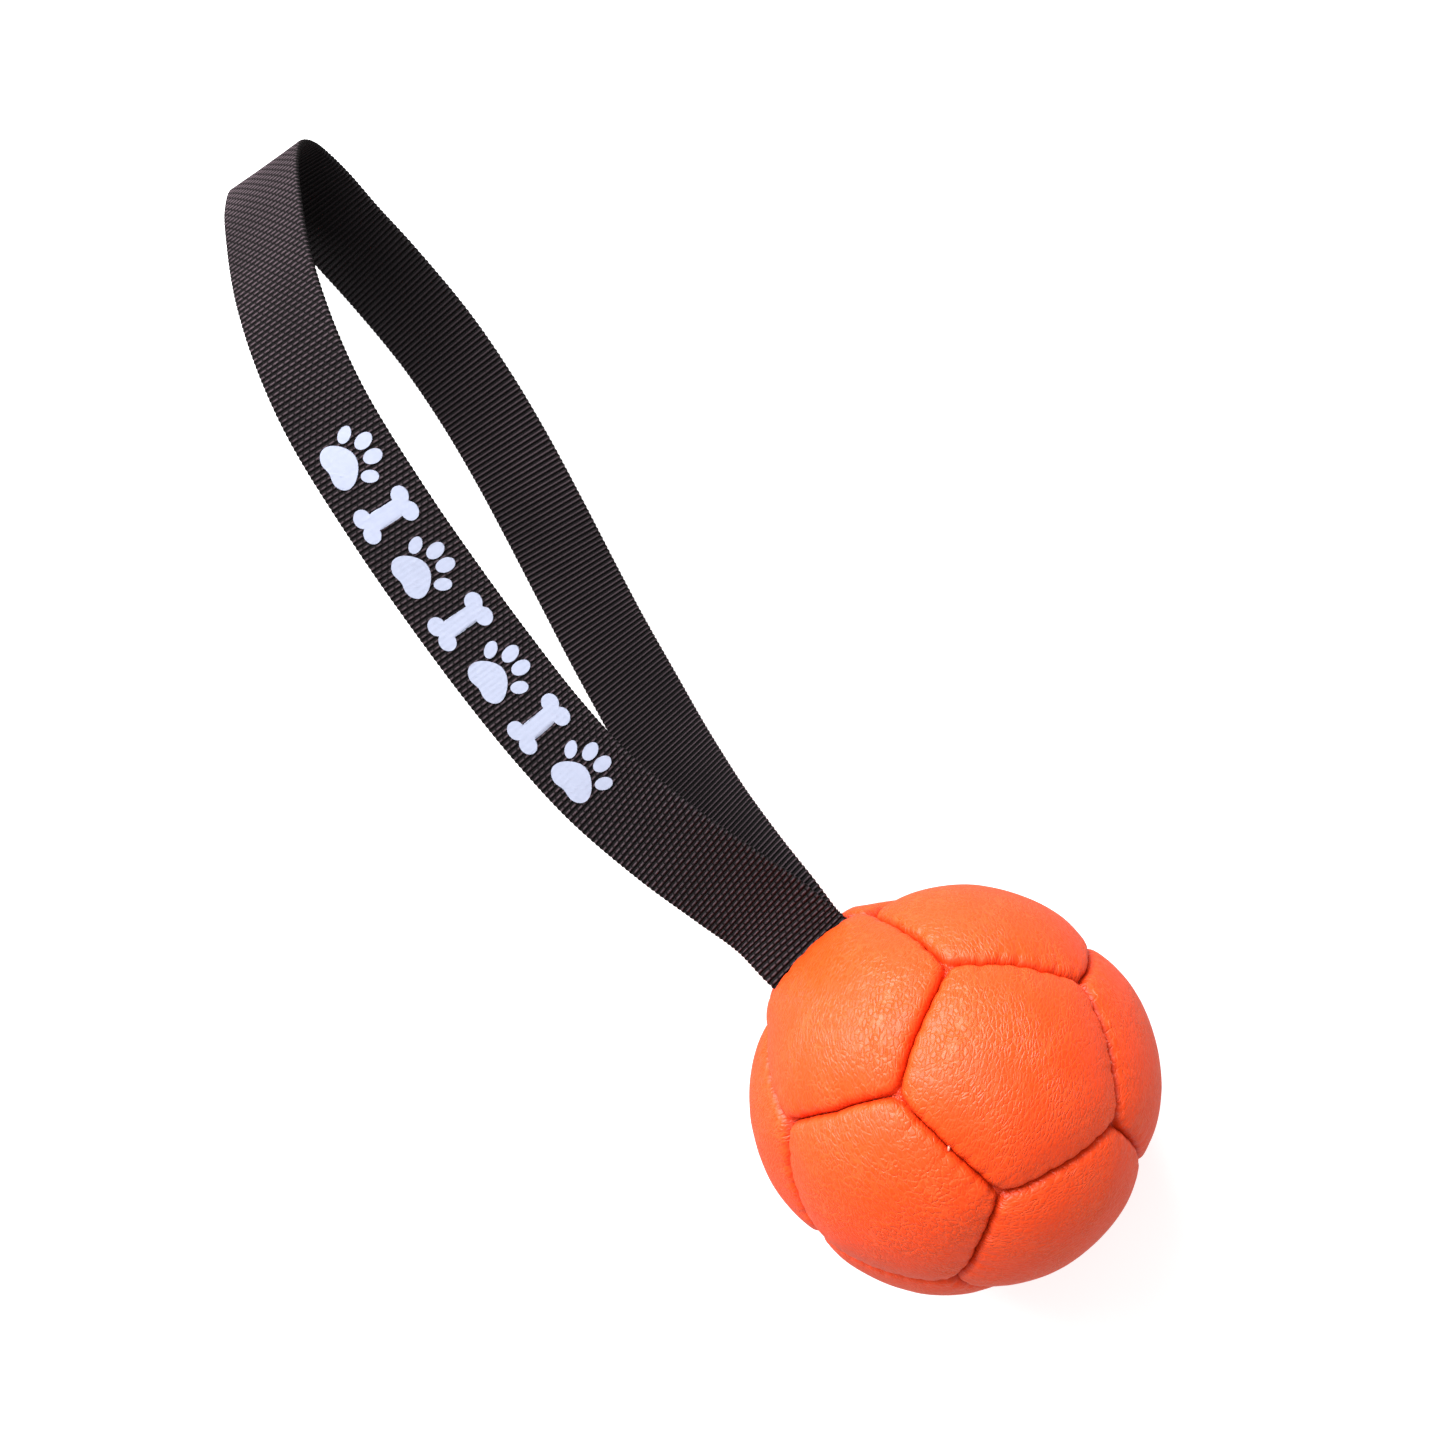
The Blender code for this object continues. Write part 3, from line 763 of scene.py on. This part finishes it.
def number(kind, first, second=0.0, third=0.0):
    """A Math node of this kind on the webbing. Each input is a number or another node's output."""
    given = {0: first, 1: second, 2: third}
    settings = {k: x for k, x in given.items() if isinstance(x, (int, float))}
    links = {k: x for k, x in given.items() if k not in settings}
    return add_node(nylon, "Math", {"operation": kind, **settings}, links).outputs["Value"]


in_ribs = number("DIVIDE", axes.outputs["X"], RIB * strap_length / STRAP_LENGTH)
rib_number = number("FLOOR", in_ribs)
in_rib = number("SUBTRACT", in_ribs, rib_number)
across_rib = number("SINE", number("MULTIPLY", in_rib, pi))
shift = number("MULTIPLY", number("PINGPONG", rib_number, 1.0), 0.5)
in_dashes = number("ADD", number("DIVIDE", axes.outputs["Y"], DASH), shift)
in_dash = number("SUBTRACT", in_dashes, number("FLOOR", in_dashes))
inner = add_node(nylon, "Attribute", {"attribute_name": "inner_face"}).outputs["Fac"]
one_dash = number("SINE", number("MULTIPLY", in_dash, pi))
across_dash = number("MAXIMUM", one_dash, number("MULTIPLY", inner, INNER_FILL))
relief = number("MULTIPLY", number("POWER", across_rib, 1.5), number("POWER", across_dash, 0.5))
along_yarns = add_node(nylon, "Mapping", {"Scale": (1.5, 6.0, 1.0)}, {"Vector": weave}).outputs[0]
filament = add_node(nylon, "TexNoise", {"Scale": 1.0, "Detail": 2.0}, {"Vector": along_yarns})
highlight_patches = add_node(nylon, "TexNoise", {"Scale": 0.06, "Detail": 3.0}, {"Vector": weave})
weave_height = number("MULTIPLY_ADD", filament.outputs["Fac"], 0.25, relief)
woven = add_node(nylon, "Bump", {"Strength": 1.0, "Distance": 0.0004}, {"Height": weave_height})
nylon.node_tree.links.new(woven.outputs["Normal"], nylon_shader.inputs["Normal"])
dash_top = number("MULTIPLY", number("POWER", across_rib, 8.0), number("POWER", across_dash, 0.7))
uneven_highlight = number("MULTIPLY", dash_top, number("ADD", highlight_patches.outputs["Fac"], 0.55))
# Painted shade: the inner face keeps little of the painted highlight up to and round the far end,
# inside the fold, and more on its way back to the ball.
inner_shade_ramp = add_node(
    nylon, "MapRange",
    {"From Min": INNER_SHADE_PLACES[0], "From Max": INNER_SHADE_PLACES[1], "To Min": 0.85, "To Max": 0.3},
    {"Value": axes.outputs["X"]},
)
inner_shade = number("MULTIPLY", inner, inner_shade_ramp.outputs["Result"])
shaded_highlight = number("MULTIPLY", uneven_highlight, number("SUBTRACT", 1.0, inner_shade))
# Painted highlight: the dash crowns are coloured brownish grey over the black, unevenly from place to
# place.
yarn = add_node(
    nylon, "MixRGB", {"Color1": linear("#030203"), "Color2": linear("#4d4046")}, {"Fac": shaded_highlight}
)
nylon.node_tree.links.new(yarn.outputs["Color"], nylon_shader.inputs["Base Color"])
strap.data.materials.append(nylon)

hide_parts("handle_strap")
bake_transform(strap)

# ---- The print ----
# A run of plain white paw prints and bones in thick screen-printing ink, on the upper run of the
# loop. They stand across the webbing, and the ink bridges the dips between the ribs.
INK = 0.224  # thickness of the film, which is partly sunk between the ribs
INK_LIFT = 0.07  # of the film's middle layer above the webbing
INK_BRIDGE = 0.25  # how far the film sags between ribs, as a share of their rise
PRINT_X = (163.5, 90.0)  # of the first motif and the last
MOTIFS = "paw bone paw bone paw bone paw".split()


def oval(x, y, width, height, turn):
    """The outline of a toe, x along the print and y up it, in millimetres."""
    a = np.arange(36) / 36 * 2 * pi
    px, py = np.cos(a) * width / 2, np.sin(a) * height / 2
    turn = radians(turn)
    return np.stack((x + px * cos(turn) - py * sin(turn), y + px * sin(turn) + py * cos(turn)), 1)


def paw():
    """A sole, narrower at the top and notched below, and four toes."""
    a = np.arange(60) / 60 * 2 * pi
    x = 4.4 * np.cos(a) * (1 - 0.26 * np.sin(a))
    y = -2.6 + 3.9 * np.sin(a) + 0.9 * (np.sin(a) < 0) * np.exp(-((x / 1.7) ** 2))
    toes = [oval(side * 4.6, 1.7, 2.5, 3.9, side * -24) for side in (-1, 1)]
    toes += [oval(side * 1.7, 4.6, 2.8, 4.4, side * -7) for side in (-1, 1)]
    return [np.stack((x, y), 1), *toes]


def bone():
    """A shaft with two knobs at each end."""
    knobs = ((1, 1, -100), (-1, 1, 23), (-1, -1, 80), (1, -1, 203))
    found = []
    for side, end, first in knobs:
        a = np.radians(np.linspace(first, first + 257, 26)[:-1])
        found.append(np.stack((1.75 * side + 1.9 * np.cos(a), 4.9 * end + 1.9 * np.sin(a)), 1))
    return [np.concatenate(found)]


def cut_across(bm, axis, places):
    """Cuts a flat mesh across one axis at each place."""
    for place in places:
        normal = Vector((1, 0, 0)) if axis == 0 else Vector((0, 1, 0))
        everything = bm.verts[:] + bm.edges[:] + bm.faces[:]
        bmesh.ops.bisect_plane(
            bm, geom=everything, dist=1e-4, plane_co=normal * place, plane_no=normal
        )


def lay_ink(ink, outline, down):
    """Adds a patch of ink inside an outline, laid on the outer face of the strap."""
    bm = bmesh.new()
    bm.faces.new([bm.verts.new((x, y, 0)) for x, y in outline])
    bmesh.ops.triangulate(bm, faces=bm.faces[:])
    # The odd hundredths keep the cuts off the outline's own corners.
    cut_across(bm, 0, np.arange(-6, 6, RIB / 3) + 0.013)
    cut_across(bm, 1, np.arange(-8, 8, 1.1) + 0.017)
    flat = np.array([vertex.co for vertex in bm.verts])
    row = (down - flat[:, 0]) / strap_length * (strap_rows - 1)
    v = flat[:, 1] / (STRAP_WIDTH / 2)
    bridged = np.maximum(rib_rise(row, v), STRAP_THICKNESS / 2 - INK_BRIDGE * RIB_RISE)
    for vertex, place in zip(bm.verts, strap_point(row, v, bridged + INK_LIFT) / 1000):
        vertex.co = Vector(place)
    patch = bpy.data.meshes.new("patch")
    bm.to_mesh(patch)
    bm.free()
    ink.from_mesh(patch)
    bpy.data.meshes.remove(patch)


upper_run = slice(0, strap_rows // 2)
along_strap = np.linspace(0, strap_length, strap_rows)
first_motif, last_motif = np.interp(PRINT_X, middle[upper_run, 0], along_strap[upper_run])
ink = bmesh.new()
for motif, down in zip(MOTIFS, np.linspace(first_motif, last_motif, len(MOTIFS))):
    for outline in paw() if motif == "paw" else bone():
        lay_ink(ink, outline, down)
bmesh.ops.recalc_face_normals(ink, faces=ink.faces)
ink_mesh = bpy.data.meshes.new("printed_motifs")
ink.to_mesh(ink_mesh)
ink.free()
printed = bpy.data.objects.new("printed_motifs", ink_mesh)
bpy.context.scene.collection.objects.link(printed)
bpy.ops.object.select_all(action="DESELECT")
printed.select_set(True)
bpy.context.view_layer.objects.active = printed
layer = printed.modifiers.new("layer", "SOLIDIFY")
layer.thickness = INK / 1000
layer.offset = 0
bpy.ops.object.modifier_apply(modifier=layer.name)
bpy.ops.object.shade_smooth_by_angle(angle=radians(40))

# Plastisol screen-printing ink: a satin film of cool, slightly dirty white that shows the ribs
# faintly.
plastisol, plastisol_shader = material("plastisol_printing_ink", "#9a9fb2", 0.5)
in_ink = add_node(plastisol, "TexCoord").outputs["Object"]
film = add_node(plastisol, "TexNoise", {"Scale": 700.0, "Detail": 3.0}, {"Vector": in_ink})
skin = add_node(
    plastisol, "Bump", {"Strength": 0.5, "Distance": 0.00008}, {"Height": film.outputs["Fac"]}
)
plastisol.node_tree.links.new(skin.outputs["Normal"], plastisol_shader.inputs["Normal"])
ink_tint = add_node(
    plastisol, "MixRGB", {"Color1": linear("#949aae"), "Color2": linear("#a1a6ba")},
    {"Fac": film.outputs["Fac"]},
)
plastisol.node_tree.links.new(ink_tint.outputs["Color"], plastisol_shader.inputs["Base Color"])
printed.data.materials.append(plastisol)
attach(printed, "handle")
